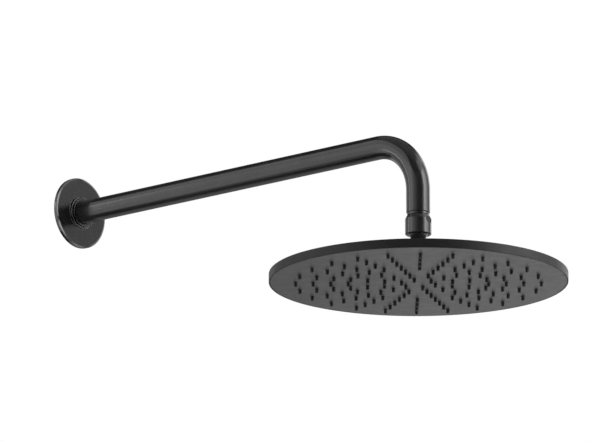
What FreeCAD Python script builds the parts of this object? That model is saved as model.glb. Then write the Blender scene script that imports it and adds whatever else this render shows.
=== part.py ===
import FreeCAD, Part
import math
import os

# Wall-mounted rain shower: a bent tube arm, a ball joint and a thin round spray head.
#
# Frame (millimetres): the origin is the arm's axis at the finished wall. +Y points into the wall, the arm runs
# out along -Y, +Z is up and +X completes the right-handed set. "Station" means the distance out from the wall.
# Parts of the arm and of the wall flange are turned about a local Z axis, with the station as local Z, and
# then laid along -Y by along_arm(). Parts of the ball joint and of the head are turned about the drop axis and
# placed by on_drop(). The head hangs level.

# ---- driving dimensions: arm ------------------------------------------------------------------------------
reach = 470.0                 # wall to the drop axis
tube_r = 12.0
tube_wall = 2.0
bend_r = 53.0                 # centreline radius of the bend
drop_length = 76.4            # arm axis down to the lower end of the tube
tube_back = 2.0               # station where the tube starts, just in front of the wall
tube_edge_round = 0.6
pipe_thread_r = 10.4775       # G 1/2 major radius, at the wall
thread_clearance = 0.05
tail_length = 23.0            # thread that stands out behind the wall line
tail_neck = 1.0               # thread relief in front of the tube's end
tail_neck_r = 9.6
tail_bore_r = 7.5
thread_chamfer = 1.0
spigot_length = 14.0          # brazed length of each threaded end inside the tube
spigot_gap = 0.05

# ---- driving dimensions: wall flange ----------------------------------------------------------------------
flange_r = 37.5
flange_front = 4.4            # station of the flange's front face
flange_back = 0.4             # the metal stops short of the wall, the seal touches it
flange_web = 1.8              # thickness of the plate over the hollow back
flange_rim = 1.5              # outer rim behind which the seal sits
bevel_width = 2.0
bevel_depth = 0.7
flange_edge_round = 0.4
sleeve_edge_round = 0.6375
collar_step = 5.6             # collar's outside beyond the tube
collar_height = 2.4
collar_lip = 1.0
collar_groove = 0.8           # depth of the groove inside the collar's lip
sleeve_wall = 2.55            # inner ring next to the tube
sleeve_height = 3.8           # inner ring above the front face
flange_bore_gap = 0.35        # around the tube
seal_width = 8.4
seal_gap = 0.3
seal_seat = 0.8               # depth of the rebate that holds the seal
grip_ring_r = 1.25            # cross-section radius of the O-ring that grips the tube
grip_ring_gap = 0.15
grip_ring_station = 4.5

# ---- driving dimensions: ball joint -----------------------------------------------------------------------
stop_collar_step = 0.8        # collar of the outlet nipple, narrower than the tube by this
stop_collar_height = 2.4
nut_gap = 0.2                 # between that collar and the nut
nut_step = 2.0                # nut's outside beyond the stop collar
nut_top_chamfer = 3.9         # axial length of the taper below the stop collar
nut_bottom_chamfer = 0.8
nut_top_round = 0.5
nut_bottom_round = 0.5
nut_flat_depth = 1.2          # each wrench flat below the nut's outside
nut_flat_height = 9.2
nut_flat_angle = -80.0        # degrees from +X about the drop axis
nipple_thread = 4.5           # length of the outlet nipple's thread below its collar
nipple_bore_r = 7.5
nipple_throat_r = 6.2
joint_thread_step = 0.4775    # joint's thread beyond the ball, G 1/2 with this tube
ball_drop_ratio = 0.32        # ball centre above the nut's lower face, over the ball's radius
ball_clearance = 0.15
ball_bore_r = 4.0
washer_thickness = 1.2
washer_hole_r = 6.8
screen_thickness = 0.4
screen_hole_r = 0.45
screen_pitch = 1.7
restrictor_length = 4.5
restrictor_gap = 0.2
restrictor_hole_r = 1.1
restrictor_hole_circle = 4.2
restrictor_holes = 6
ring_thickness = 0.75         # friction ring between the ball and the upper seat
ring_low_angle = 35.0         # degrees above the ball's equator
ring_high_angle = 58.0
seat_gap = 0.13               # upper seat inside the nut's bore
seat_crown = 0.35             # seat left above the ball's socket
seat_rise_ratio = 0.5         # seat's lower edge above the ball centre, over the ball's radius
seat_hole_r = 5.0
seat_seal_r = 0.75
seat_seal_drop = 2.3          # seal's centre below the seat's top

# ---- driving dimensions: stem and hub ---------------------------------------------------------------------
neck_r = 6.0
neck_length = 16.2            # ball centre down to the shoulder
shoulder_step = 2.5           # shoulder's outside beyond the journal
shoulder_height = 6.0
shoulder_round = 0.8
shoulder_flat_depth = 1.5     # each wrench flat below the shoulder's outside
stem_washer_thickness = 0.9
stem_washer_gap = 0.1
journal_r = 8.0
journal_clearance = 0.06
hub_bore_length = 12.0
stem_seal_r = 0.65
stem_nut_height = 5.0
stem_nut_step = 2.0           # flats of the hexagon beyond the journal
stem_thread_step = 0.6        # thread under the journal's outside
hub_wall = 7.0                # bush's outside beyond the journal
hub_counterbore_wall = 1.8
hub_flange_width = 7.0
hub_flange_thickness = 1.5
hub_top_round = 1.2
hub_gasket_thickness = 1.0
ring_nut_width = 6.0
ring_nut_height = 5.0
ring_nut_slot = 3.0
ring_nut_slots = 4
ring_nut_round = 1.0

# ---- driving dimensions: spray head -----------------------------------------------------------------------
head_r = 150.0
head_top_gap = 19.8           # top of the hub boss down to the top of the head
shell_wall = 1.0
rim_wall = 1.4
rim_round = 0.8
chamber_height = 4.0
backing_thickness = 1.2
mat_thickness = 1.6
plate_thickness = 1.4
plate_gap = 0.15
mat_margin = 10.0             # each margin is measured in from the head's edge
backing_margin = 12.0
gasket_margin = 8.0
gasket_gap = 0.3

rays = 24                     # nozzle rays
face_turn = -3.9              # degrees from the arm's line to the first ray, as the head hangs
nozzle_margin = 27.0          # head's edge in to the outer ring of nozzles
outer_ring = 7                # every ray carries nozzles out to this ring
first_ring_main = 1           # every fourth ray starts here
first_ring_second = 2         # the rays half way between those start here
first_ring_minor = 4          # every odd ray starts here
nozzle_root_r = 1.75
nozzle_tip_r = 1.6
nozzle_length = 4.3           # below the spray face
nozzle_tip_round = 0.35
nozzle_bore_r = 0.5
nozzle_hole_gap = 0.25
feed_hole_r = 1.2

stud_r = 1.5
stud_gap = 0.25
outer_studs = 12
outer_stud_margin = 19.0
inner_studs = 4
inner_stud_ring = 2.5         # in ring pitches
stud_top_spare = 0.4
clamp_nut_height = 2.2
clamp_nut_flat = 2.75         # axis to each flat
pillar_r = 3.0
pillars = 8
pillar_ring = 5.0             # in ring pitches

# ---- radii worked out from the sizes above ----------------------------------------------------------------
tube_bore_r = tube_r - tube_wall
spigot_r = tube_bore_r - spigot_gap
flange_bore_r = tube_r + flange_bore_gap
collar_r = tube_r + collar_step
ball_r = tube_bore_r           # the ball is as wide as the tube's bore
joint_thread_r = ball_r + joint_thread_step
stop_collar_r = tube_r - stop_collar_step
nut_r = stop_collar_r + nut_step
nut_bottom_r = nut_r - nut_bottom_chamfer
nut_flat_distance = nut_r - nut_flat_depth
nut_bore_r = joint_thread_r + thread_clearance
seat_sphere_r = ball_r + 2 * ball_clearance + ring_thickness
shoulder_r = journal_r + shoulder_step
shoulder_flat = shoulder_r - shoulder_flat_depth
stem_nut_flat = journal_r + stem_nut_step
stem_thread_r = journal_r - stem_thread_step
hub_r = journal_r + hub_wall
hub_counterbore_r = hub_r - hub_counterbore_wall
hub_flange_r = hub_r + hub_flange_width
ring_nut_r = hub_r + ring_nut_width
mat_r = head_r - mat_margin
backing_r = head_r - backing_margin
gasket_inner_r = head_r - gasket_margin
ring_pitch = (head_r - nozzle_margin) / outer_ring
outer_stud_circle = head_r - outer_stud_margin
inner_stud_circle = inner_stud_ring * ring_pitch
pillar_circle = pillar_ring * ring_pitch

# ---- heights on the drop axis, worked out from the sizes above --------------------------------------------
tube_end_z = -drop_length
collar_end_z = tube_end_z - stop_collar_height
nut_top_z = collar_end_z - nut_gap
nipple_end_z = collar_end_z - nipple_thread
washer_bottom_z = nipple_end_z - washer_thickness
ball_z = washer_bottom_z - seat_crown - seat_sphere_r
nut_bottom_z = ball_z - ball_drop_ratio * ball_r
shoulder_z = ball_z - neck_length
shoulder_bottom_z = shoulder_z - shoulder_height
hub_top_z = shoulder_bottom_z - stem_washer_thickness - stem_washer_gap
hub_bore_bottom_z = hub_top_z - hub_bore_length
stem_nut_top_z = hub_bore_bottom_z - 2 * stem_washer_gap
stem_end_z = stem_nut_top_z - stem_nut_height - stem_washer_thickness
head_top_z = hub_top_z - head_top_gap
ceiling_z = head_top_z - shell_wall
backing_top_z = ceiling_z - chamber_height
mat_top_z = backing_top_z - backing_thickness
plate_top_z = mat_top_z - mat_thickness
face_z = plate_top_z - plate_thickness
sleeve_station = flange_front + sleeve_height
collar_station = flange_front + collar_height
past = 1.0                    # how far a cutting tool runs past the face it leaves

UP = FreeCAD.Vector(0, 0, 1)


# ---- helpers ----------------------------------------------------------------------------------------------
def disc(radius, low, high):
    return Part.makeCylinder(radius, high - low, FreeCAD.Vector(0, 0, low), UP)


def ring(outer, inner, low, high):
    return disc(outer, low, high).cut(disc(inner, low - past, high + past))


def turned(profile):
    """Solid of revolution about Z from a closed outline of (radius, height) points."""
    points = [FreeCAD.Vector(radius, 0, height) for radius, height in profile]
    face = Part.Face(Part.makePolygon(points + points[:1]))
    return face.revolve(FreeCAD.Vector(0, 0, 0), UP, 360)


def sphere(radius, height):
    return Part.makeSphere(radius, FreeCAD.Vector(0, 0, height))


def o_ring(section_r, centre_r, height):
    return Part.makeTorus(centre_r, section_r, FreeCAD.Vector(0, 0, height), UP)


def polar(radius, degrees, height=0.0):
    angle = math.radians(degrees)
    return FreeCAD.Vector(radius * math.cos(angle), radius * math.sin(angle), height)


def hexagon(flat, low, high):
    corner = flat / math.cos(math.radians(30))
    points = [polar(corner, 60 * k, low) for k in range(6)]
    return Part.Face(Part.makePolygon(points + points[:1])).extrude(FreeCAD.Vector(0, 0, high - low))


def round_rim(solid, radius, rim_r, rim_z):
    """Fillet the circular edges of one radius at one height."""
    edges = []
    for edge in solid.Edges:
        if edge.Degenerated or edge.Curve.TypeId != "Part::GeomCircle":
            continue
        curve = edge.Curve
        if abs(curve.Radius - rim_r) < 0.01 and abs(curve.Center.z - rim_z) < 0.01:
            edges.append(edge)
    return solid.makeFillet(radius, edges)


def cut_two_flats(solid, distance, low, high, degrees):
    """Mill two parallel flats at one distance either side of the axis."""
    depth = 2 * nut_r
    block = Part.makeBox(depth, 2 * depth, high - low, FreeCAD.Vector(distance, -depth, low))
    for turn in (degrees, degrees + 180):
        tool = block.copy()
        tool.rotate(FreeCAD.Vector(0, 0, 0), UP, turn)
        solid = solid.cut(tool)
    return solid


def along_arm(solid):
    solid.rotate(FreeCAD.Vector(0, 0, 0), FreeCAD.Vector(1, 0, 0), 90)
    return solid


def on_drop(solid):
    solid.translate(FreeCAD.Vector(0, -reach, 0))
    return solid


def bent_rod(radius, start, end_z):
    """Round bar that follows the arm's centreline, from a station near the wall down to end_z."""
    corner = FreeCAD.Vector(0, -(reach - bend_r), 0)
    outward = FreeCAD.Vector(0, -1, 0)
    run = Part.makeCylinder(radius, reach - bend_r - start, FreeCAD.Vector(0, -start, 0), outward)
    section = Part.Face(Part.Wire(Part.makeCircle(radius, corner, FreeCAD.Vector(0, 1, 0))))
    centre = FreeCAD.Vector(0, corner.y, -bend_r)
    bend = section.revolve(centre, FreeCAD.Vector(1, 0, 0), 90)
    drop = Part.makeCylinder(radius, -bend_r - end_z, FreeCAD.Vector(0, -reach, end_z), UP)
    return run.fuse([bend, drop]).removeSplitter()


def nozzle_points():
    """Places of the nozzles on the face, about the drop axis, the first ray close to the arm's line."""
    points = []
    for ray in range(rays):
        if ray % 4 == 0:
            first = first_ring_main
        elif ray % 2 == 0:
            first = first_ring_second
        else:
            first = first_ring_minor
        for number in range(first, outer_ring + 1):
            points.append(polar(number * ring_pitch, face_turn - 90 + 360 * ray / rays))
    return points


def stud_points():
    outer = [polar(outer_stud_circle, face_turn + 360 * (k + 0.25) / outer_studs) for k in range(outer_studs)]
    inner = [polar(inner_stud_circle, face_turn + 360 * (k + 0.5) / inner_studs) for k in range(inner_studs)]
    return outer + inner


def posts(points, radius, low, high):
    return [Part.makeCylinder(radius, high - low, point + UP * low, UP) for point in points]


# ---- arm --------------------------------------------------------------------------------------------------
def arm_tube():
    tube = bent_rod(tube_r, tube_back, tube_end_z).cut(bent_rod(tube_bore_r, tube_back, tube_end_z))
    return round_rim(tube, tube_edge_round, tube_r, tube_end_z)


def inlet_tail():
    """Male pipe thread at the wall, with a spigot brazed into the tube."""
    shoulder = tube_back
    relief = shoulder - tail_neck
    tail = turned([
        (tail_bore_r, shoulder + spigot_length),
        (spigot_r, shoulder + spigot_length),
        (spigot_r, shoulder),
        (tail_neck_r, shoulder),
        (tail_neck_r, relief),
        (pipe_thread_r, relief),
        (pipe_thread_r, thread_chamfer - tail_length),
        (pipe_thread_r - thread_chamfer, -tail_length),
        (tail_bore_r, -tail_length),
    ])
    return along_arm(tail)


def outlet_nipple():
    """Male pipe thread under the tube, with a stop collar and a stepped bore for the restrictor."""
    spigot_top = tube_end_z + spigot_length
    throat_z = nipple_end_z + restrictor_length + restrictor_gap
    nipple = turned([
        (nipple_throat_r, spigot_top),
        (spigot_r, spigot_top),
        (spigot_r, tube_end_z),
        (stop_collar_r, tube_end_z),
        (stop_collar_r, collar_end_z),
        (joint_thread_r, collar_end_z),
        (joint_thread_r, nipple_end_z + thread_chamfer / 2),
        (joint_thread_r - thread_chamfer / 2, nipple_end_z),
        (nipple_bore_r, nipple_end_z),
        (nipple_bore_r, throat_z),
        (nipple_throat_r, throat_z),
    ])
    return on_drop(nipple)


def flow_restrictor():
    low = nipple_end_z
    body = disc(nipple_bore_r - restrictor_gap, low, low + restrictor_length)
    centres = [polar(restrictor_hole_circle, 360 * k / restrictor_holes) for k in range(restrictor_holes)]
    centres.append(FreeCAD.Vector(0, 0, 0))
    return on_drop(body.cut(posts(centres, restrictor_hole_r, low - past, low + restrictor_length + past)))


def filter_washer():
    """Rubber washer that seals the nipple against the ball seat."""
    return on_drop(ring(nut_bore_r - seat_gap, washer_hole_r, washer_bottom_z, nipple_end_z))


def filter_screen():
    """Perforated disc in the washer's hole, holes on a square grid."""
    middle = (washer_bottom_z + nipple_end_z) / 2
    low = middle - screen_thickness / 2
    screen_r = washer_hole_r - restrictor_gap
    steps = int((screen_r - screen_pitch / 2) / screen_pitch)
    centres = []
    for column in range(-steps, steps + 1):
        for row in range(-steps, steps + 1):
            centre = FreeCAD.Vector(column * screen_pitch, row * screen_pitch, 0)
            if centre.Length < screen_r - 2 * screen_hole_r:
                centres.append(centre)
    holes = posts(centres, screen_hole_r, low - past, low + screen_thickness + past)
    return on_drop(disc(screen_r, low, low + screen_thickness).cut(holes))


# ---- wall flange ------------------------------------------------------------------------------------------
def wall_flange():
    """Round cover plate with a bevelled edge, a raised collar and an inner sleeve round the tube."""
    seal_outer = flange_r - flange_rim
    seal_inner = seal_outer - seal_width
    web_back = flange_front - flange_web
    sleeve_r = flange_bore_r + sleeve_wall
    groove_station = collar_station - collar_groove
    flange = turned([
        (flange_bore_r, web_back),
        (seal_inner - flange_rim, web_back),
        (seal_inner - flange_rim, flange_back),
        (seal_inner, flange_back),
        (seal_inner, flange_back + seal_seat),
        (seal_outer, flange_back + seal_seat),
        (seal_outer, flange_back),
        (flange_r, flange_back),
        (flange_r, flange_front - bevel_depth),
        (flange_r - bevel_width, flange_front),
        (collar_r, flange_front),
        (collar_r, collar_station),
        (collar_r - collar_lip, collar_station),
        (collar_r - collar_lip, groove_station),
        (sleeve_r, groove_station),
        (sleeve_r, sleeve_station),
        (flange_bore_r, sleeve_station),
    ])
    flange = round_rim(flange, flange_edge_round, collar_r, collar_station)
    flange = round_rim(flange, sleeve_edge_round, sleeve_r, sleeve_station)
    flange = round_rim(flange, flange_edge_round, flange_r, flange_front - bevel_depth)
    groove_r = flange_bore_r - flange_bore_gap + 2 * grip_ring_r + 2 * grip_ring_gap
    groove_half = grip_ring_r + grip_ring_gap
    groove = ring(groove_r, tube_r, grip_ring_station - groove_half, grip_ring_station + groove_half)
    return along_arm(flange.cut(groove))


def wall_seal():
    """Soft ring that lies in the flange's back and meets the wall."""
    seal_outer = flange_r - flange_rim
    seal_inner = seal_outer - seal_width
    return along_arm(ring(seal_outer - seal_gap, seal_inner + seal_gap, 0.0, flange_back + seal_seat))


def flange_o_ring():
    centre_r = tube_r + grip_ring_gap + grip_ring_r
    return along_arm(o_ring(grip_ring_r, centre_r, grip_ring_station))


# ---- ball joint -------------------------------------------------------------------------------------------
def swivel_nut():
    """Housing of the ball joint: screws onto the nipple and holds the ball with its lower lip."""
    taper = nut_r - stop_collar_r
    nut = turned([
        (nut_bore_r, nut_top_z),
        (nut_r - taper, nut_top_z),
        (nut_r, nut_top_z - nut_top_chamfer),
        (nut_r, nut_bottom_z + nut_bottom_chamfer),
        (nut_bottom_r, nut_bottom_z),
        (0.0, nut_bottom_z),
        (0.0, ball_z),
        (nut_bore_r, ball_z),
    ])
    nut = round_rim(nut, nut_top_round, nut_r, nut_top_z - nut_top_chamfer)
    nut = round_rim(nut, nut_bottom_round, nut_r, nut_bottom_z + nut_bottom_chamfer)
    nut = nut.cut(sphere(ball_r + ball_clearance, ball_z))
    nut = cut_two_flats(nut, nut_flat_distance, nut_top_z - nut_flat_height, nut_top_z + past, nut_flat_angle)
    return on_drop(nut)


def upper_ball_seat():
    seat_r = nut_bore_r - seat_gap
    bottom = ball_z + seat_rise_ratio * ball_r
    seat = ring(seat_r, seat_hole_r, bottom, washer_bottom_z)
    seat = seat.cut(sphere(seat_sphere_r, ball_z))
    seal_z = washer_bottom_z - seat_seal_drop
    groove_half = seat_seal_r + thread_clearance
    groove = ring(seat_r + past, seat_r - 2 * seat_seal_r, seal_z - groove_half, seal_z + groove_half)
    return on_drop(seat.cut(groove))


def seat_o_ring():
    centre_r = nut_bore_r - thread_clearance - seat_seal_r
    return on_drop(o_ring(seat_seal_r, centre_r, washer_bottom_z - seat_seal_drop))


def friction_ring():
    """Spherical band that lies on the ball and slides in the upper seat."""
    inner = ball_r + ball_clearance
    outer = inner + ring_thickness
    low = math.radians(ring_low_angle)
    high = math.radians(ring_high_angle)
    middle = (low + high) / 2

    def at(radius, angle):
        return FreeCAD.Vector(radius * math.cos(angle), 0, ball_z + radius * math.sin(angle))

    outline = Part.Wire([
        Part.Arc(at(inner, low), at(inner, middle), at(inner, high)).toShape(),
        Part.LineSegment(at(inner, high), at(outer, high)).toShape(),
        Part.Arc(at(outer, high), at(outer, middle), at(outer, low)).toShape(),
        Part.LineSegment(at(outer, low), at(inner, low)).toShape(),
    ])
    return on_drop(Part.Face(outline).revolve(FreeCAD.Vector(0, 0, 0), UP, 360))


def ball_stem():
    """Hollow ball with its neck, shoulder, journal and threaded end, turned from one bar."""
    stem = sphere(ball_r, ball_z).fuse([
        disc(neck_r, shoulder_z, ball_z),
        disc(shoulder_r, shoulder_bottom_z, shoulder_z),
        disc(journal_r, stem_nut_top_z, shoulder_bottom_z),
        disc(stem_thread_r, stem_end_z, stem_nut_top_z),
    ])
    stem = round_rim(stem, shoulder_round, shoulder_r, shoulder_z)
    stem = cut_two_flats(stem, shoulder_flat, shoulder_bottom_z - past, shoulder_z + past, nut_flat_angle)
    seal_z = hub_top_z - hub_bore_length / 2
    groove_half = stem_seal_r + thread_clearance
    groove_r = journal_r - 2 * stem_seal_r
    stem = stem.cut(ring(journal_r + past, groove_r, seal_z - groove_half, seal_z + groove_half))
    return on_drop(stem.cut(disc(ball_bore_r, stem_end_z - past, ball_z + ball_r + past)))


def stem_washer():
    return on_drop(ring(shoulder_r, journal_r + thread_clearance, shoulder_bottom_z - stem_washer_thickness,
                        shoulder_bottom_z))


def stem_o_ring():
    centre_r = journal_r - stem_seal_r + thread_clearance / 2
    return on_drop(o_ring(stem_seal_r, centre_r, hub_top_z - hub_bore_length / 2))


def stem_nut():
    nut = hexagon(stem_nut_flat, stem_nut_top_z - stem_nut_height, stem_nut_top_z)
    bore = disc(stem_thread_r + thread_clearance, stem_end_z, stem_nut_top_z + past)
    return on_drop(nut.cut(bore))


# ---- hub --------------------------------------------------------------------------------------------------
def hub_boss():
    """Threaded bush that the stem turns in, pushed up through the middle of the head's shell."""
    flange_top = ceiling_z - hub_gasket_thickness
    flange_bottom = flange_top - hub_flange_thickness
    boss = turned([
        (journal_r + journal_clearance, hub_top_z),
        (hub_r, hub_top_z),
        (hub_r, flange_top),
        (hub_flange_r, flange_top),
        (hub_flange_r, flange_bottom),
        (hub_counterbore_r, flange_bottom),
        (hub_counterbore_r, hub_bore_bottom_z),
        (journal_r + journal_clearance, hub_bore_bottom_z),
    ])
    return on_drop(round_rim(boss, hub_top_round, hub_r, hub_top_z))


def hub_gasket():
    return on_drop(ring(hub_flange_r, hub_r + gasket_gap, ceiling_z - hub_gasket_thickness, ceiling_z))


def hub_ring_nut():
    """Slotted ring nut that clamps the shell down onto the bush's flange."""
    low = head_top_z
    high = head_top_z + ring_nut_height
    nut = ring(ring_nut_r, hub_r + thread_clearance, low, high)
    nut = round_rim(nut, ring_nut_round, ring_nut_r, high)
    depth = ring_nut_slot
    slot = Part.makeBox(2 * depth, ring_nut_slot, ring_nut_height, FreeCAD.Vector(ring_nut_r - depth,
                        -ring_nut_slot / 2, low + ring_nut_height / 3))
    for k in range(ring_nut_slots):
        tool = slot.copy()
        tool.rotate(FreeCAD.Vector(0, 0, 0), UP, 360 * (k + 0.5) / ring_nut_slots)
        nut = nut.cut(tool)
    return on_drop(nut)


# ---- spray head -------------------------------------------------------------------------------------------
def top_shell():
    """Top cover and rim in one thin pressing, open at the bottom."""
    shell = disc(head_r, face_z, head_top_z)
    shell = round_rim(shell, rim_round, head_r, head_top_z)
    shell = round_rim(shell, rim_round / 2, head_r, face_z)
    shell = shell.cut(disc(head_r - rim_wall, face_z - past, ceiling_z))
    return on_drop(shell.cut(disc(hub_r + gasket_gap, ceiling_z - past, head_top_z + past)))


def rim_gasket():
    outer = head_r - rim_wall - gasket_gap
    return on_drop(ring(outer, gasket_inner_r, plate_top_z, ceiling_z))


def spacer_pillars():
    """Posts that keep the water chamber open."""
    centres = [polar(pillar_circle, face_turn + 360 * (k + 0.25) / pillars) for k in range(pillars)]
    return on_drop(Part.makeCompound(posts(centres, pillar_r, backing_top_z, ceiling_z)))


def backing_plate():
    """Stiff plate that presses the nozzle mat onto the spray plate, with a feed hole over each nozzle."""
    plate = disc(backing_r, mat_top_z, backing_top_z)
    holes = posts(nozzle_points(), feed_hole_r, mat_top_z - past, backing_top_z + past)
    holes += posts(stud_points(), stud_r + stud_gap, mat_top_z - past, backing_top_z + past)
    return on_drop(plate.cut(holes))


def clamp_nuts():
    nuts = []
    nut_top = backing_top_z + clamp_nut_height
    for point in stud_points():
        nut = hexagon(clamp_nut_flat, backing_top_z, nut_top)
        nut = nut.cut(disc(stud_r + thread_clearance, backing_top_z - past, nut_top + past))
        nut.translate(point)
        nuts.append(nut)
    return on_drop(Part.makeCompound(nuts))


def nozzle_mat():
    """Silicone mat whose nozzles stand through the holes of the spray plate."""
    tip_z = face_z - nozzle_length
    web = disc(mat_r, plate_top_z, mat_top_z)
    web = web.cut(posts(stud_points(), stud_r + stud_gap, plate_top_z - past, mat_top_z + past))
    nozzle = turned([
        (0.0, plate_top_z + mat_thickness / 2),
        (nozzle_root_r, plate_top_z + mat_thickness / 2),
        (nozzle_root_r, face_z),
        (nozzle_tip_r, tip_z),
        (0.0, tip_z),
    ])
    nozzle = round_rim(nozzle, nozzle_tip_round, nozzle_tip_r, tip_z)
    nozzles = []
    for point in nozzle_points():
        copy = nozzle.copy()
        copy.translate(point)
        nozzles.append(copy)
    bores = posts(nozzle_points(), nozzle_bore_r, tip_z - past, mat_top_z + past)
    return on_drop(web.fuse(nozzles).cut(bores))


def spray_plate():
    """Bottom plate with the nozzle holes and the welded studs on its back."""
    plate_r = head_r - rim_wall - plate_gap
    plate = disc(plate_r, face_z, plate_top_z)
    stud_top = backing_top_z + clamp_nut_height + stud_top_spare
    plate = plate.fuse(posts(stud_points(), stud_r, plate_top_z - plate_thickness / 2, stud_top))
    hole_r = nozzle_root_r + nozzle_hole_gap
    return on_drop(plate.cut(posts(nozzle_points(), hole_r, face_z - past, plate_top_z + past)))


NODES = [
    arm_tube, inlet_tail, outlet_nipple, flow_restrictor, filter_washer, filter_screen,
    wall_flange, wall_seal, flange_o_ring,
    swivel_nut, upper_ball_seat, seat_o_ring, friction_ring,
    ball_stem, stem_washer, stem_o_ring, stem_nut,
    hub_boss, hub_gasket, hub_ring_nut,
    top_shell, rim_gasket, spacer_pillars, backing_plate, clamp_nuts, nozzle_mat, spray_plate,
]

os.makedirs("parts", exist_ok=True)
for build in NODES:
    shape = build()
    if not shape.isValid():
        raise ValueError(build.__name__ + " is not a valid solid")
    shape.exportStep("parts/" + build.__name__ + ".step")
    print(build.__name__, len(shape.Solids), round(shape.Volume / 1000, 2), "cm3")
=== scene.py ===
import math

import bmesh
import bpy
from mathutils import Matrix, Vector


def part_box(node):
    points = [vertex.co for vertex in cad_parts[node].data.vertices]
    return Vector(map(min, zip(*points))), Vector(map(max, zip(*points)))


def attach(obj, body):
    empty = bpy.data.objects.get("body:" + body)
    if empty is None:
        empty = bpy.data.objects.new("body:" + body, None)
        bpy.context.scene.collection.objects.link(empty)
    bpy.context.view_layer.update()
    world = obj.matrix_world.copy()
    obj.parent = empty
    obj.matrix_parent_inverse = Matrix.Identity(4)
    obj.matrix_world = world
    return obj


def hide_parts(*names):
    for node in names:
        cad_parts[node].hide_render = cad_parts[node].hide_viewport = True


# A wall-mounted rain shower in satin black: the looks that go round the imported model. Metres throughout.
# The origin is the arm's axis at the wall, the arm runs out along -Y and the head hangs level below its end.

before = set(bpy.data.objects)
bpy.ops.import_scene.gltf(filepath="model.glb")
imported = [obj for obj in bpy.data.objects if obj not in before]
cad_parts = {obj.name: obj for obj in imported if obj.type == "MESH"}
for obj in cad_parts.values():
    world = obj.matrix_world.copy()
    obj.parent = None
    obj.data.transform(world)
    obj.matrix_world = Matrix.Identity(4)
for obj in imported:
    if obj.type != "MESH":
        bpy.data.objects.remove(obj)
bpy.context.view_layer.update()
scene = bpy.context.scene

MM = 0.001
X = Vector((1, 0, 0))
Y = Vector((0, 1, 0))
Z = Vector((0, 0, 1))


# ---- places and sizes, from the frame ---------------------------------------------------------------------
def low(node):
    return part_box(node)[0]


def high(node):
    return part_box(node)[1]


def middle(node):
    return (low(node) + high(node)) / 2


head_middle = middle("hub_boss")
drop_y = head_middle.y
tube_r = high("arm_tube").x
tube_end_z = low("arm_tube").z
tube_start_y = high("arm_tube").y
tube_wall = 2.0 * MM
tube_bore_r = tube_r - tube_wall
spigot_r = tube_bore_r - 0.05 * MM     # what is brazed into the tube
bend_r = 53.0 * MM

face_z = low("top_shell").z
head_top_z = high("top_shell").z
head_r = 150.0 * MM
rim_wall = 1.4 * MM
shell_wall = 1.0 * MM
plate_gap = 0.15 * MM
plate_thickness = 1.4 * MM
plate_r = head_r - rim_wall - plate_gap
plate_top_z = face_z + plate_thickness
mat_top_z = high("nozzle_mat").z
mat_r = 140.0 * MM

NOZZLE_RAYS = 24
RING_PITCH = 123.0 * MM / 7
LAST_RING = 7
FACE_TURN = math.radians(-3.9)     # the first ray of nozzles, off the arm's line
FIRST_RING = (1, 4, 2, 4)          # first ring that carries a nozzle, over four neighbouring rays
nozzle_tip_z = low("nozzle_mat").z
NOZZLE_ROOT_R = 1.75 * MM
NOZZLE_TIP_R = 1.6 * MM
NOZZLE_BORE_R = 0.5 * MM
NOZZLE_HOLE_R = 2.0 * MM

ball_r = 10.0 * MM
ball_rise = 3.2 * MM                   # ball's centre above the nut's lower end
ball_z = low("swivel_nut").z + ball_rise
FLAT_ANGLE = math.radians(-80)


# ---- mesh helpers -----------------------------------------------------------------------------------------
def finish_mesh(name, mesh_data, smooth_angle=32):
    """Object from a bmesh, with smooth shading that breaks at sharp corners."""
    bmesh.ops.remove_doubles(mesh_data, verts=mesh_data.verts, dist=1e-7)
    bmesh.ops.recalc_face_normals(mesh_data, faces=mesh_data.faces)
    mesh = bpy.data.meshes.new(name)
    mesh_data.to_mesh(mesh)
    mesh_data.free()
    mesh.polygons.foreach_set("use_smooth", [True] * len(mesh.polygons))
    mesh.set_sharp_from_angle(angle=math.radians(smooth_angle))
    obj = bpy.data.objects.new(name, mesh)
    scene.collection.objects.link(obj)
    return obj


def skin(mesh_data, rows):
    """Closed quad surface through rows of points. The last row joins the first one."""
    made = [[mesh_data.verts.new(point) for point in row] for row in rows]
    count = len(made[0])
    for here, there in zip(made, made[1:] + made[:1]):
        for k in range(count):
            after = (k + 1) % count
            mesh_data.faces.new((here[k], here[after], there[after], there[k]))


def rounded(outline, steps=6):
    """Closed outline of (radius, height, rounding) corners, with each rounding as a short arc.

    A point is added just past both ends of an arc, so that smooth shading stays flat on the faces beside."""
    points = []
    count = len(outline)
    for k, (radius, height, rounding) in enumerate(outline):
        corner = Vector((radius, height))
        before = Vector(outline[k - 1][:2]) - corner
        after = Vector(outline[(k + 1) % count][:2]) - corner
        if rounding <= 0:
            points.append(corner)
            continue
        half = before.angle(after) / 2
        reach = rounding / math.tan(half)
        start = corner + before.normalized() * reach
        end = corner + after.normalized() * reach
        centre = corner + (before.normalized() + after.normalized()).normalized() * rounding / math.sin(half)
        guard_before = min(0.35 * rounding, 0.2 * (before.length - reach))
        guard_after = min(0.35 * rounding, 0.2 * (after.length - reach))
        points.append(start + before.normalized() * guard_before)
        first = start - centre
        turn = first.angle_signed(end - centre)
        for step in range(steps + 1):
            angle = -turn * step / steps
            c, s = math.cos(angle), math.sin(angle)
            points.append(centre + Vector((first.x * c - first.y * s, first.x * s + first.y * c)))
        points.append(end + after.normalized() * guard_after)
    return points


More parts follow.
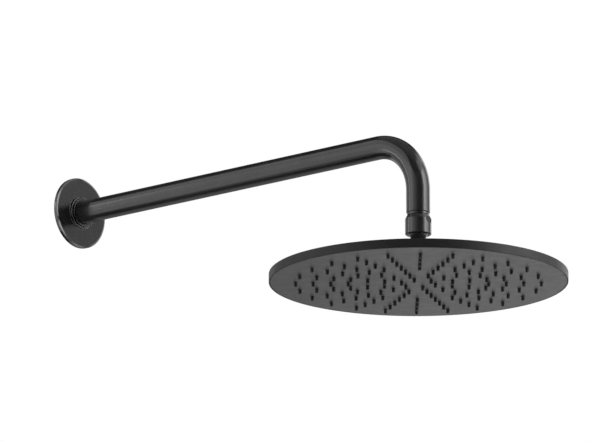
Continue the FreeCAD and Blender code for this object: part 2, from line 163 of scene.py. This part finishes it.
def lathe(name, outline, centre, axis="Z", segments=160, trim=None):
    """Ring turned from an outline about the drop axis (Z) or the arm (Y, with heights out from the wall)."""
    mesh_data = bmesh.new()
    rows = []
    for point in rounded(outline):
        row = []
        for k in range(segments):
            angle = 2 * math.pi * k / segments
            radius = trim(point.x, point.y, angle) if trim else point.x
            if axis == "Z":
                row.append(centre + Vector((radius * math.cos(angle), radius * math.sin(angle), point.y)))
            else:
                row.append(centre + Vector((radius * math.cos(angle), -point.y, radius * math.sin(angle))))
        rows.append(row)
    skin(mesh_data, rows)
    return finish_mesh(name, mesh_data)


def on_drop_axis(z=0.0):
    return Vector((0, drop_y, z))


def millimetres(outline):
    """Outline written in millimetres, in metres."""
    return [(radius * MM, height * MM, rounding * MM) for radius, height, rounding in outline]


def two_flats(distance, low_z, high_z):
    """Trims a turned outline to two parallel flats between two heights."""
    def trim(radius, height, angle):
        if not low_z < height < high_z:
            return radius
        facing = abs(math.cos(angle - FLAT_ANGLE))
        return min(radius, distance / max(facing, 1e-6))
    return trim


# ---- arm --------------------------------------------------------------------------------------------------
def make_arm_tube():
    """Bent tube: outside from the wall to the lower end, round the lip and back up the bore."""
    straight_steps = 24
    bend_steps = 72
    drop_steps = 3
    lip_steps = 6
    segments = 128
    lip = 0.6 * MM
    bend_y = drop_y + bend_r
    path = []
    for k in range(straight_steps + 1):
        path.append((Vector((0, tube_start_y + (bend_y - tube_start_y) * k / straight_steps, 0)), Z))
    for k in range(1, bend_steps):
        turn = 0.5 * math.pi * k / bend_steps
        out = Vector((0, -math.sin(turn), math.cos(turn)))
        path.append((Vector((0, bend_y, -bend_r)) + out * bend_r, out))
    for k in range(drop_steps + 1):
        path.append((on_drop_axis(-bend_r + (tube_end_z + lip + bend_r) * k / drop_steps), -Y))
    rows = [(centre, out, tube_r) for centre, out in path]
    for k in range(1, lip_steps + 1):
        turn = 0.5 * math.pi * k / lip_steps
        centre = on_drop_axis(tube_end_z + lip - lip * math.sin(turn))
        rows.append((centre, -Y, tube_r - lip + lip * math.cos(turn)))
    rows.append((on_drop_axis(tube_end_z), -Y, tube_bore_r))
    rows += [(centre, out, tube_bore_r) for centre, out in reversed(path[:-1])]
    angles = [2 * math.pi * k / segments for k in range(segments)]
    mesh_data = bmesh.new()
    points = []
    for centre, out, radius in rows:
        points.append([centre + (X * math.cos(a) + out * math.sin(a)) * radius for a in angles])
    skin(mesh_data, points)
    return finish_mesh("arm_tube_skin", mesh_data)


def make_inlet_tail():
    """Brass tail with its G 1/2 thread cut as a real helix."""
    pitch = 1.814 * MM
    depth = 0.9 * MM
    flank = 2.7                        # how steeply a ridge rises over one pitch
    lead_in_depth = 1.0 * MM
    lead_in_slope = 0.9
    major = high("inlet_tail").x
    end_r = 9.75 * MM
    thread_floor = 9.7 * MM
    relief_r = 9.6 * MM
    relief = 1.0 * MM
    bore = 7.5 * MM
    back = -high("inlet_tail").y
    shoulder = -tube_start_y
    inner = -low("inlet_tail").y
    rows = 170

    def thread(radius, height, angle):
        if radius < thread_floor or height > relief:
            return radius
        phase = (height / pitch + angle / (2 * math.pi)) % 1.0
        ridge = min(1.0, flank * (0.5 - abs(phase - 0.5)))
        lead_in = lead_in_depth - lead_in_slope * (height - back)
        return min(major - depth * (1 - ridge), major - lead_in)

    outline = [(bore, back, 0.3 * MM)]
    for k in range(rows + 1):
        outline.append((major if k else end_r, back + (relief - back) * k / rows, 0))
    outline += [
        (relief_r, relief + 0.02 * MM, 0),
        (relief_r, shoulder, 0),
        (spigot_r, shoulder, 0),
        (spigot_r, inner, 0.2 * MM),
        (bore, inner, 0.2 * MM),
    ]
    return lathe("inlet_tail_thread", outline, Vector((0, 0, 0)), "Y", segments=96, trim=thread)


# ---- wall flange ------------------------------------------------------------------------------------------
def make_wall_flange():
    """Flange with a hollow back, a bevelled front edge, and a collar with a groove round the arm."""
    bore, hollow, seat_inner, seat_outer, edge = 12.35, 26.0, 27.6, 36.0, 37.5
    collar, collar_top, groove_outer, groove_inner, ring_top = 17.6, 17.0, 16.2, 14.9, 14.7
    back, seat_floor, hollow_floor = 0.4, 1.2, 2.6
    edge_front, front, front_r = 3.7, 4.4, 35.5
    groove_floor, collar_front, ring_front = 5.6, 6.8, 8.2
    outline = [
        (bore, hollow_floor, 0.2), (hollow, hollow_floor, 0.3), (hollow, back, 0.15), (seat_inner, back, 0.1),
        (seat_inner, seat_floor, 0), (seat_outer, seat_floor, 0), (seat_outer, back, 0.1), (edge, back, 0.2),
        (edge, edge_front, 0.35), (front_r, front, 0.5), (collar, front, 0.4),
        (collar_top, collar_front, 0.4), (groove_outer, collar_front, 0.2), (groove_outer, groove_floor, 0.2),
        (groove_inner, groove_floor, 0.2), (ring_top, ring_front, 0.5), (bore, ring_front, 0.35),
    ]
    return lathe("wall_flange_turned", millimetres(outline), Vector((0, 0, 0)), "Y", segments=256)


def make_wall_seal():
    """Soft ring in the flange's back."""
    inner, outer, thickness = 27.9, 35.7, 1.2
    outline = [(inner, 0.0, 0.25), (outer, 0.0, 0.25), (outer, thickness, 0.2), (inner, thickness, 0.2)]
    return lathe("wall_seal_foam", millimetres(outline), Vector((0, 0, 0)), "Y", segments=192)


# ---- ball joint -------------------------------------------------------------------------------------------
def flat_cutter(distance, low_z, high_z, turn):
    """End mill's path for one wrench flat: flat outside a distance from the axis, with a round lower end."""
    mill_r = 5.9 * MM
    deep = 8.0 * MM
    above = 2 * MM
    steps = 28
    facing = Vector((math.cos(turn), math.sin(turn), 0))
    side = Vector((-math.sin(turn), math.cos(turn), 0))
    outline = []
    for k in range(steps + 1):
        angle = math.pi + math.pi * k / steps
        outline.append((mill_r * math.cos(angle), low_z + mill_r + mill_r * math.sin(angle)))
    outline += [(mill_r, high_z + above), (-mill_r, high_z + above)]
    mesh_data = bmesh.new()
    ends = []
    for reach in (distance, distance + deep):
        points = [on_drop_axis(z) + facing * reach + side * across for across, z in outline]
        ends.append([mesh_data.verts.new(point) for point in points])
    near, far = ends
    count = len(outline)
    for k in range(count):
        after = (k + 1) % count
        mesh_data.faces.new((near[k], near[after], far[after], far[k]))
    mesh_data.faces.new(near)
    mesh_data.faces.new(list(reversed(far)))
    return finish_mesh("flat_cutter", mesh_data)


def mill(piece, cutters):
    """Cuts the cutters out of a piece and removes them."""
    for cutter in cutters:
        cut = piece.modifiers.new("cut", "BOOLEAN")
        cut.operation = "DIFFERENCE"
        cut.solver = "EXACT"
        cut.object = cutter
    ready = bpy.data.meshes.new_from_object(piece.evaluated_get(bpy.context.evaluated_depsgraph_get()))
    piece.modifiers.clear()
    piece.data = ready
    for cutter in cutters:
        bpy.data.objects.remove(cutter)
    mesh_data = bmesh.new()
    mesh_data.from_mesh(ready)
    bmesh.ops.dissolve_degenerate(mesh_data, dist=1e-6, edges=mesh_data.edges)
    mesh_data.to_mesh(ready)
    mesh_data.free()
    ready.polygons.foreach_set("use_smooth", [True] * len(ready.polygons))
    ready.set_sharp_from_angle(angle=math.radians(24))
    return piece


def make_outlet_nipple():
    """Nipple under the tube: stop collar with eased edges, thread and stepped bore."""
    collar_r = tube_r - 0.8 * MM
    thread_r = 10.4775 * MM
    throat_r = 6.2 * MM
    bore = 7.5 * MM
    collar_gap = 0.2 * MM
    bore_depth = 4.7 * MM
    top = high("outlet_nipple").z
    bottom = low("outlet_nipple").z
    collar_low = high("swivel_nut").z + collar_gap
    throat_z = bottom + bore_depth
    outline = [
        (throat_r, top, 0.1 * MM),
        (spigot_r, top, 0.2 * MM),
        (spigot_r, tube_end_z, 0),
        (collar_r, tube_end_z, 0.15 * MM),
        (collar_r, collar_low, 0.3 * MM),
        (thread_r, collar_low, 0.1 * MM),
        (thread_r, bottom, 0.5 * MM),
        (bore, bottom, 0.1 * MM),
        (bore, throat_z, 0.1 * MM),
        (throat_r, throat_z, 0.1 * MM),
    ]
    return lathe("outlet_nipple_turned", outline, on_drop_axis(), "Z", segments=160)


def make_swivel_nut():
    """Housing nut: taper under the tube, two wrench flats, rolled lower lip round the ball."""
    top = high("swivel_nut").z
    bottom = low("swivel_nut").z
    nut_r = 13.2 * MM
    neck = 11.2 * MM
    bore = 10.53 * MM
    socket = ball_r + 0.15 * MM
    taper = 3.9 * MM
    chamfer = 0.8 * MM
    flat_distance = 12.0 * MM
    flat_height = 9.2 * MM
    lip_ease = 0.25 * MM
    socket_steps = 12

    def socket_r(z):
        return math.sqrt(socket ** 2 - (ball_z - z) ** 2)

    lip = socket_r(bottom)
    outline = [
        (bore, top, 0.1 * MM),
        (neck, top, 0.15 * MM),
        (nut_r, top - taper, 0.5 * MM),
        (nut_r, bottom + chamfer, 0.45 * MM),
        (nut_r - chamfer, bottom, 0.3 * MM),
        (lip + lip_ease, bottom, 0.1 * MM),
        (lip, bottom + lip_ease, 0),
    ]
    for k in range(2, socket_steps):
        height = bottom + ball_rise * k / socket_steps
        outline.append((socket_r(height), height, 0))
    outline += [(socket, ball_z, 0), (bore, ball_z + 0.1 * MM, 0)]
    nut = lathe("swivel_nut_body", outline, on_drop_axis(), "Z", segments=192)
    turns = (FLAT_ANGLE, FLAT_ANGLE + math.pi)
    return mill(nut, [flat_cutter(flat_distance, top - flat_height, top, turn) for turn in turns])


def make_ball_stem():
    """Ball, neck, shoulder with two flats, journal and threaded end, hollow for the water."""
    neck_length = 16.2 * MM
    shoulder_height = 6.0 * MM
    bore = 4.0 * MM
    neck = 6.0 * MM
    shoulder_r = 10.5 * MM
    journal_r = 8.0 * MM
    thread_r = 7.4 * MM
    flat_distance = 9.0 * MM
    margin = 0.01 * MM
    ball_steps = 40
    shoulder_z = ball_z - neck_length
    shoulder_low = shoulder_z - shoulder_height
    end_z = low("ball_stem").z
    journal_end = high("stem_nut").z
    outline = []
    start = math.acos(bore / ball_r)
    finish = -math.acos(neck / ball_r)
    for k in range(ball_steps + 1):
        angle = start + (finish - start) * k / ball_steps
        outline.append((ball_r * math.cos(angle), ball_z + ball_r * math.sin(angle), 0))
    outline += [
        (neck, shoulder_z, 1.2 * MM),
        (shoulder_r, shoulder_z, 0.5 * MM),
        (shoulder_r, shoulder_low, 0.2 * MM),
        (journal_r, shoulder_low, 0),
        (journal_r, journal_end, 0.1 * MM),
        (thread_r, journal_end, 0),
        (thread_r, end_z, 0.4 * MM),
        (bore, end_z, 0.3 * MM),
    ]
    flats = two_flats(flat_distance, shoulder_low - margin, shoulder_z + margin)
    return lathe("ball_stem_turned", outline, on_drop_axis(), "Z", segments=192, trim=flats)


# ---- hub --------------------------------------------------------------------------------------------------
def make_hub_boss():
    """Bush in the middle of the head, with a foot under the shell and a wider bore at the bottom."""
    top = high("hub_boss").z
    bottom = low("hub_boss").z
    bore = 8.06 * MM
    outer = 15.0 * MM
    foot = 22.0 * MM
    foot_top = bottom + 1.5 * MM
    nut_bore = 13.2 * MM
    nut_bore_top = top - 12.0 * MM
    outline = [
        (bore, top, 0.2 * MM),
        (outer, top, 1.2 * MM),
        (outer, foot_top, 0),
        (foot, foot_top, 0.2 * MM),
        (foot, bottom, 0.2 * MM),
        (nut_bore, bottom, 0.2 * MM),
        (nut_bore, nut_bore_top, 0.3 * MM),
        (bore, nut_bore_top, 0.2 * MM),
    ]
    return lathe("hub_boss_turned", outline, on_drop_axis(), "Z", segments=160)


# ---- spray head -------------------------------------------------------------------------------------------
def make_top_shell():
    """Top cover and rim in one pressing, with a hole for the bush."""
    opening = 15.3 * MM
    ceiling = head_top_z - shell_wall
    inner = head_r - rim_wall
    outline = [
        (opening, head_top_z, 0.2 * MM),
        (head_r, head_top_z, 0.8 * MM),
        (head_r, face_z, 0.4 * MM),
        (inner, face_z, 0.2 * MM),
        (inner, ceiling, 0.5 * MM),
        (opening, ceiling, 0),
    ]
    return lathe("top_shell_pressing", outline, on_drop_axis(), "Z", segments=384)


def nozzle_places():
    """Nozzles on rays: every ray runs out to the last ring, and starts at its own first ring."""
    places = []
    for ray in range(NOZZLE_RAYS):
        angle = FACE_TURN - math.pi / 2 + 2 * math.pi * ray / NOZZLE_RAYS
        for ring in range(FIRST_RING[ray % len(FIRST_RING)], LAST_RING + 1):
            places.append(Vector((math.cos(angle), math.sin(angle), 0)) * ring * RING_PITCH)
    return places


def circle(centre, radius, z, count):
    angles = [2 * math.pi * k / count for k in range(count)]
    return [centre + Vector((radius * math.cos(angle), radius * math.sin(angle), z)) for angle in angles]


def make_spray_plate():
    """Plate with 126 chamfered holes. Each side is one flat sheet, and walls join the two sheets."""
    edge_ease = 0.2 * MM
    chamfer = 0.25 * MM
    edge_points = 384
    hole_points = 28
    edge = [(plate_r, plate_top_z), (plate_r, face_z + edge_ease), (plate_r - edge_ease, face_z)]
    mouth_r = NOZZLE_HOLE_R + chamfer
    hole = [(NOZZLE_HOLE_R, plate_top_z), (NOZZLE_HOLE_R, face_z + chamfer), (mouth_r, face_z)]
    mesh_data = bmesh.new()
    tops = []
    bottoms = []

    def wall(at, profile, count):
        rings = [[mesh_data.verts.new(p) for p in circle(at, r, z, count)] for r, z in profile]
        for here, there in zip(rings, rings[1:]):
            for k in range(count):
                after = (k + 1) % count
                mesh_data.faces.new((here[k], here[after], there[after], there[k]))
        tops.append(rings[0])
        bottoms.append(rings[-1])

    wall(on_drop_axis(), edge, edge_points)
    for place in nozzle_places():
        wall(on_drop_axis() + place, hole, hole_points)
    for rings in (tops, bottoms):
        edges = []
        for ring in rings:
            for k in range(len(ring)):
                edges.append(mesh_data.edges.get((ring[k], ring[(k + 1) % len(ring)])))
        bmesh.ops.triangle_fill(mesh_data, use_beauty=True, edges=edges)
    return finish_mesh("spray_plate_face", mesh_data, smooth_angle=25)


def make_nozzle_mat():
    """Silicone web with its 126 nozzles: short cones with rounded tips and a fine bore."""
    web_points = 160
    nozzle_points = 24
    root_z = plate_top_z + 0.3 * MM
    web = [(0.0, plate_top_z), (mat_r, plate_top_z), (mat_r, mat_top_z), (0.0, mat_top_z)]
    nozzle = [
        (NOZZLE_BORE_R, root_z, 0),
        (NOZZLE_ROOT_R, root_z, 0),
        (NOZZLE_ROOT_R, face_z, 0.3 * MM),
        (NOZZLE_TIP_R, nozzle_tip_z, 0.35 * MM),
        (NOZZLE_BORE_R, nozzle_tip_z, 0.15 * MM),
    ]
    mesh_data = bmesh.new()
    skin(mesh_data, [circle(on_drop_axis(), r, z, web_points) for r, z in web])
    profile = rounded(nozzle, steps=5)
    for place in nozzle_places():
        skin(mesh_data, [circle(on_drop_axis() + place, p.x, p.y, nozzle_points) for p in profile])
    return finish_mesh("nozzle_mat_silicone", mesh_data, smooth_angle=40)


# ---- materials --------------------------------------------------------------------------------------------
EDGE_WEAR = 0.35 * MM


def material_base(name):
    material = bpy.data.materials.new(name)
    material.use_nodes = True
    nodes = material.node_tree.nodes
    shader = nodes["Principled BSDF"]
    place = nodes.new("ShaderNodeTexCoord")
    return material, nodes, material.node_tree.links, shader, place.outputs["Object"]


def noise(nodes, links, where, scale, detail=4.0, rough=0.55):
    texture = nodes.new("ShaderNodeTexNoise")
    texture.inputs["Scale"].default_value = scale
    texture.inputs["Detail"].default_value = detail
    texture.inputs["Roughness"].default_value = rough
    links.new(where, texture.inputs["Vector"])
    return texture.outputs["Fac"]


def spread(nodes, links, source, low_value, high_value, from_low=0.35, from_high=0.65):
    remap = nodes.new("ShaderNodeMapRange")
    remap.inputs["From Min"].default_value = from_low
    remap.inputs["From Max"].default_value = from_high
    remap.inputs["To Min"].default_value = low_value
    remap.inputs["To Max"].default_value = high_value
    links.new(source, remap.inputs["Value"])
    return remap.outputs["Result"]


def two_tone(nodes, links, factor, dark, light):
    mix = nodes.new("ShaderNodeMix")
    mix.data_type = "RGBA"
    mix.inputs["A"].default_value = (*dark, 1)
    mix.inputs["B"].default_value = (*light, 1)
    links.new(factor, mix.inputs["Factor"])
    return mix.outputs["Result"]


def bumped(nodes, links, shader, height, strength, distance):
    bump = nodes.new("ShaderNodeBump")
    bump.inputs["Strength"].default_value = strength
    bump.inputs["Distance"].default_value = distance
    links.new(height, bump.inputs["Height"])
    links.new(bump.outputs["Normal"], shader.inputs["Normal"])


def edge_mask(nodes, links, radius):
    """1 on outer edges, 0 on open faces: how far a rounded normal turns away from the true one."""
    soft = nodes.new("ShaderNodeBevel")
    soft.samples = 4
    soft.inputs["Radius"].default_value = radius
    true = nodes.new("ShaderNodeNewGeometry")
    dot = nodes.new("ShaderNodeVectorMath")
    dot.operation = "DOT_PRODUCT"
    links.new(soft.outputs["Normal"], dot.inputs[0])
    links.new(true.outputs["Normal"], dot.inputs[1])
    return spread(nodes, links, dot.outputs["Value"], 1.0, 0.0, 0.86, 0.985)


def coating(name, tone, roughness, peel_strength=0.12, specular=0.5, wear_and_edge_highlight=1.9, wear_and_highlight_width=EDGE_WEAR):
    """Satin black coating on metal: near-black, slightly cloudy, fine orange peel, edges lighter: a little
    wear on most pieces, a strong painted highlight along the flange's edges.
    """
    material, nodes, links, shader, where = material_base(name)
    cloud = noise(nodes, links, where, 38.0)
    tint = spread(nodes, links, cloud, 0.0, 1.0)
    dark = (tone * 0.86, tone * 0.86, tone * 0.87)
    light = (tone * 1.14, tone * 1.14, tone * 1.16)
    body = two_tone(nodes, links, tint, dark, light)
    # Edges lighter by the given factor: slight wear at small factors, and at the flange's large factor a
    # painted highlight standing in for reflected light.
    worn_and_highlit_edges = nodes.new("ShaderNodeMix")
    worn_and_highlit_edges.data_type = "RGBA"
    worn_and_highlit_edges.inputs["B"].default_value = (tone * wear_and_edge_highlight, tone * wear_and_edge_highlight, tone * wear_and_edge_highlight, 1)
    links.new(edge_mask(nodes, links, wear_and_highlight_width), worn_and_highlit_edges.inputs["Factor"])
    links.new(body, worn_and_highlit_edges.inputs["A"])
    links.new(worn_and_highlit_edges.outputs["Result"], shader.inputs["Base Color"])
    smear = noise(nodes, links, where, 90.0, 3.0)
    links.new(spread(nodes, links, smear, roughness - 0.025, roughness + 0.03), shader.inputs["Roughness"])
    peel = noise(nodes, links, where, 1400, detail=2.0, rough=0.4)
    bumped(nodes, links, shader, peel, peel_strength, distance=0.012 * MM)
    shader.inputs["Specular IOR Level"].default_value = specular
    return material


def moulded(name, color, roughness):
    """Moulded plastic, rubber or silicone with a fine spark-eroded texture."""
    material, nodes, links, shader, where = material_base(name)
    tint = spread(nodes, links, noise(nodes, links, where, 55.0), 0.0, 1.0)
    dark = tuple(c * 0.88 for c in color)
    light = tuple(min(1.0, c * 1.1) for c in color)
    links.new(two_tone(nodes, links, tint, dark, light), shader.inputs["Base Color"])
    links.new(spread(nodes, links, noise(nodes, links, where, 160.0), roughness - 0.04, roughness + 0.05),
              shader.inputs["Roughness"])
    grain = noise(nodes, links, where, 700, detail=3.0)
    bumped(nodes, links, shader, grain, strength=0.5, distance=0.01 * MM)
    return material


def machined(name, color, roughness):
    """Bare turned metal with fine tool rings round the drop axis."""
    material, nodes, links, shader, where = material_base(name)
    tint = spread(nodes, links, noise(nodes, links, where, 70.0), 0.0, 1.0)
    dark = tuple(c * 0.85 for c in color)
    links.new(two_tone(nodes, links, tint, dark, color), shader.inputs["Base Color"])
    links.new(spread(nodes, links, noise(nodes, links, where, 220.0), roughness - 0.05, roughness + 0.08),
              shader.inputs["Roughness"])
    tool = nodes.new("ShaderNodeTexWave")
    tool.bands_direction = "Z"
    tool.inputs["Scale"].default_value = 1500
    tool.inputs["Distortion"].default_value = 0.6
    links.new(where, tool.inputs["Vector"])
    bumped(nodes, links, shader, tool.outputs["Fac"], strength=0.15, distance=0.01 * MM)
    shader.inputs["Metallic"].default_value = 1.0
    return material


arm_black = coating("satin_black_arm", 0.020, 0.185)
# Flange edges are painted far lighter than the coat, a painted highlight on its rims and collar rather than
# wear.
flange_black = coating("satin_black_flange", 0.009, 0.17, specular=0.62, wear_and_edge_highlight=34.0, wear_and_highlight_width=0.6 * MM)
nut_black = coating("satin_black_joint", 0.020, 0.2, wear_and_edge_highlight=3.0)
ball_black = coating("satin_black_ball", 0.024, 0.24, specular=0.8)
head_black = coating("satin_black_shell", 0.016, 0.5, peel_strength=0.2, specular=0.22)
face_black = coating("matt_grey_spray_face", 0.045, 0.46, peel_strength=0.1)
seal_rubber = moulded("epdm_rubber", (0.016, 0.016, 0.017), 0.62)
silicone = moulded("black_silicone", (0.012, 0.012, 0.0125), 0.48)
acetal = moulded("white_acetal", (0.78, 0.78, 0.75), 0.35)
ptfe = moulded("white_ptfe", (0.82, 0.82, 0.82), 0.5)
restrictor_green = moulded("green_restrictor", (0.06, 0.28, 0.12), 0.4)
backing_grey = moulded("grey_backing", (0.13, 0.13, 0.135), 0.5)
stainless = machined("stainless_steel", (0.56, 0.56, 0.57), 0.32)
brass = machined("brass_bare", (0.66, 0.46, 0.18), 0.3)

NODE_MATERIALS = {
    "hub_ring_nut": head_black, "flow_restrictor": restrictor_green,
    "filter_washer": seal_rubber, "filter_screen": stainless, "flange_o_ring": seal_rubber,
    "upper_ball_seat": acetal, "seat_o_ring": seal_rubber, "friction_ring": ptfe, "stem_washer": ptfe,
    "stem_o_ring": seal_rubber, "stem_nut": brass, "hub_gasket": seal_rubber, "rim_gasket": silicone,
    "spacer_pillars": stainless, "backing_plate": backing_grey, "clamp_nuts": stainless,
}
for node, material in NODE_MATERIALS.items():
    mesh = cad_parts[node].data
    mesh.materials.clear()
    mesh.materials.append(material)

PIECES = [
    (make_arm_tube, "arm_tube", "arm", arm_black, "black_metal"),
    (make_inlet_tail, "inlet_tail", "arm", arm_black, "black_metal"),
    (make_wall_flange, "wall_flange", "flange", flange_black, "black_metal"),
    (make_wall_seal, "wall_seal", "flange", seal_rubber, "seal_rubber"),
    (make_outlet_nipple, "outlet_nipple", "arm", arm_black, "black_metal"),
    (make_swivel_nut, "swivel_nut", "arm", nut_black, "black_metal"),
    (make_ball_stem, "ball_stem", "stem", ball_black, "black_metal"),
    (make_hub_boss, "hub_boss", "head", head_black, "black_metal"),
    (make_top_shell, "top_shell", "head", head_black, "head_shell"),
    (make_spray_plate, "spray_plate", "head", face_black, "spray_face"),
    (make_nozzle_mat, "nozzle_mat", "head", silicone, "silicone"),
]
for make, node, body, material, slot in PIECES:
    piece = make()
    piece.data.materials.append(material)
    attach(piece, body)
    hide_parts(node)


# ---- stage, light and camera ------------------------------------------------------------------------------
def make_floor():
    """Pale floor far below. It lights nothing and doesn't show in the gloss."""
    half = 130.0
    floor_z = -16.0
    corners = [(-half, -half), (half, -half), (half, half), (-half, half)]
    mesh_data = bmesh.new()
    mesh_data.faces.new([mesh_data.verts.new((x, y, floor_z)) for x, y in corners])
    mesh = bpy.data.meshes.new("floor")
    mesh_data.to_mesh(mesh)
    mesh_data.free()
    floor = bpy.data.objects.new("floor", mesh)
    scene.collection.objects.link(floor)
    paint, nodes, links, shader, where = material_base("pale_floor")
    tint = spread(nodes, links, noise(nodes, links, where, 0.6), 0.0, 1.0)
    shade = two_tone(nodes, links, tint, (0.84, 0.84, 0.84), (0.88, 0.88, 0.88))
    links.new(shade, shader.inputs["Base Color"])
    shader.inputs["Roughness"].default_value = 0.9
    shader.inputs["Emission Color"].default_value = (1, 1, 1, 1)
    shader.inputs["Emission Strength"].default_value = 0.95
    mesh.materials.append(paint)
    floor.visible_glossy = False
    floor.visible_diffuse = False


def panel(name, place, aim, width, height, brightness):
    """Softbox that lights and shows in the gloss but isn't seen itself."""
    light = bpy.data.lights.new(name, "AREA")
    light.shape = "RECTANGLE"
    light.size = width
    light.size_y = height
    light.energy = math.pi * width * height * brightness
    obj = bpy.data.objects.new(name, light)
    obj.location = place
    obj.rotation_mode = "QUATERNION"
    obj.rotation_quaternion = (Vector(aim) - Vector(place)).to_track_quat("-Z", "Y")
    obj.visible_camera = False
    scene.collection.objects.link(obj)


def bank(name, first, step, count, distance, heights, brightness, change=0.0):
    """Row of softboxes round the drop axis, side by side from a first bearing on, in even steps (degrees).

    The brightness changes by the same amount from each box to the next."""
    low_z, high_z = heights
    level = on_drop_axis((low_z + high_z) / 2)
    for k in range(count):
        edges = []
        for bearing in (first + step * k, first + step * (k + 1)):
            angle = math.radians(bearing)
            edges.append(level + Vector((math.cos(angle), math.sin(angle), 0)) * distance)
        centre = (edges[0] + edges[1]) / 2
        width = (edges[1] - edges[0]).length
        panel("%s_%d" % (name, k), centre, level, width, high_z - low_z, brightness + change * k)


def make_softboxes():
    """Soft studio light: a near side that fades to the back, and a far side that the arm mirrors."""
    near, far = 1.2, 2.2
    near_level, near_high, near_low = (-0.35, 1.0), (1.0, 1.9), (-1.4, -0.35)
    bank("near_edge", -95, 12.5, 1, near, near_level, 1.5)
    bank("near_side", -82.5, 15, 4, near, near_level, 6.5, -1.95)
    bank("near_fill", -22.5, 15, 1, near, near_level, 0.4)
    bank("near_back", -7.5, 25, 1, near, near_level, 2.0)
    bank("near_top", -105, 45, 2, near, near_high, 1.6)
    bank("near_foot", -45, 30, 1, near, near_low, 3.0)
    bank("back_foot", 15, 30, 1, near, near_low, 0.6)

    far_level, far_tall = (-0.5, 0.9), (-0.8, 1.2)
    bank("back_fill", 15, 60, 1, far, far_tall, 0.25)
    bank("back_low", 15, 60, 1, far, (-2.4, -0.8), 0.4)
    bank("rim_fill", 62, 50, 1, far, far_level, 0.75)
    bank("far_edge", 120, 7.5, 1, far, far_level, 4.0)
    bank("far_side", 127.5, 12.5, 3, far, far_level, 1.4, 0.6)
    bank("far_front", 165, 15, 4, far, far_tall, 1.3, -0.4)
    bank("far_top", 110, 35, 2, far, (0.9, 2.6), 1.2)
    bank("far_low", 110, 35, 1, far, (-1.5, -0.5), 1.5)
    bank("far_foot", 110, 35, 1, far, (-2.9, -1.5), 0.6)

    middle_y, side = -0.3, 3.0
    panel("overhead", (0, middle_y, 2.5), (0, middle_y, 0), side, side, 0.25)
    panel("from_below", (0, middle_y, -2.5), (0, middle_y, 0), side, side, 1.05)


def make_world():
    """White where the camera sees it, and almost no light of its own."""
    world = bpy.data.worlds.new("studio")
    scene.world = world
    world.use_nodes = True
    nodes = world.node_tree.nodes
    links = world.node_tree.links
    nodes.clear()
    out = nodes.new("ShaderNodeOutputWorld")
    seen = nodes.new("ShaderNodeBackground")
    seen.inputs["Color"].default_value = (1, 1, 1, 1)
    lit = nodes.new("ShaderNodeBackground")
    lit.inputs["Color"].default_value = (1, 1, 1, 1)
    lit.inputs["Strength"].default_value = 0.008
    path = nodes.new("ShaderNodeLightPath")
    mix = nodes.new("ShaderNodeMixShader")
    links.new(path.outputs["Is Camera Ray"], mix.inputs["Fac"])
    links.new(lit.outputs["Background"], mix.inputs[1])
    links.new(seen.outputs["Background"], mix.inputs[2])
    links.new(mix.outputs["Shader"], out.inputs["Surface"])


def make_camera():
    """Camera at the head's left front, looking up at the spray face from a distance through a long lens."""
    azimuth = math.radians(-48.67)
    elevation = math.radians(-13.89)
    distance = 6.0
    aim = Vector((-0.0777, -0.3730, -0.0832))
    level = Vector((math.sin(azimuth), -math.cos(azimuth), 0))
    back = level * math.cos(elevation) + Z * math.sin(elevation)
    data = bpy.data.cameras.new("camera")
    data.sensor_width = 36.0
    data.lens = 365.1
    data.clip_end = 200.0
    camera = bpy.data.objects.new("camera", data)
    camera.location = aim + back * distance
    camera.rotation_mode = "QUATERNION"
    camera.rotation_quaternion = (-back).to_track_quat("-Z", "Y")
    scene.collection.objects.link(camera)
    scene.camera = camera


make_floor()
make_world()
make_softboxes()
make_camera()
scene.view_settings.view_transform = "Standard"
scene.view_settings.look = "None"
